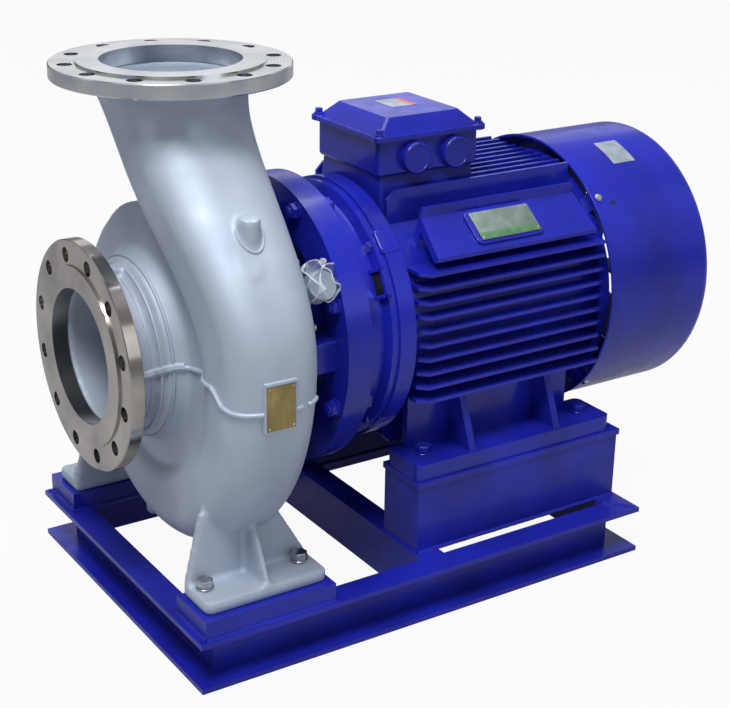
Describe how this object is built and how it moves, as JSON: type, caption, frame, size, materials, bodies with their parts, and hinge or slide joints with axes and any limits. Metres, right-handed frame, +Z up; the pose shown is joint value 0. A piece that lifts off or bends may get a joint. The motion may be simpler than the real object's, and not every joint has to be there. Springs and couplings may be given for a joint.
{
  "type": "close-coupled end-suction centrifugal pump with motor on a channel base",
  "caption": "Horizontal centrifugal water pump with equal pipe flanges, close-coupled to a finned electric motor on a welded channel base frame.",
  "frame": {"origin": "on the floor, at the centre of the box round the whole set", "axes": "+X along the shaft from the suction flange to the motor fan, +Z up"},
  "size_m": [1.039, 0.6026, 0.84],
  "materials": {
    "cast_stainless": "blasted matt",
    "machined_stainless": "turned bright",
    "blue_enamel": "gloss",
    "blue_frame_paint": "gloss",
    "bright_steel": "ground",
    "dark_fan": "matt",
    "brass_plate": "brushed"
  },
  "bodies": {
    "root": {"cable_plugs": "blue_enamel", "casing_cover": "cast_stainless", "casing_plate": "brass_plate", "cooling_fan": "dark_fan", "cowl_grille": "blue_enamel", "discharge_collar": "cast_stainless", "discharge_flange": "machined_stainless", "fan_cowl": "blue_enamel", "flush_port": "cast_stainless", "impeller": "cast_stainless", "impeller_nut": "bright_steel", "lantern_bracket": "blue_enamel", "long_beam_far": "blue_frame_paint", "long_beam_near": "blue_frame_paint", "middle_cross_beam": "blue_frame_paint", "motor_end_beam": "blue_frame_paint", "motor_foot_far": "blue_enamel", "motor_foot_near": "blue_enamel", "motor_frame": "blue_enamel", "motor_front_shield": "blue_enamel", "motor_pedestal_far": "blue_frame_paint", "motor_pedestal_near": "blue_frame_paint", "motor_rear_shield": "blue_enamel", "motor_shaft": "bright_steel", "pump_end_beam": "blue_frame_paint", "pump_pad_far": "blue_frame_paint", "pump_pad_near": "blue_frame_paint", "pump_shaft": "bright_steel", "seal_gland": "bright_steel", "suction_flange": "machined_stainless", "suction_neck": "cast_stainless", "terminal_box": "blue_enamel", "terminal_lid": "blue_enamel", "terminal_riser": "blue_enamel", "volute_casing": "cast_stainless"}
  },
  "joints": []
}
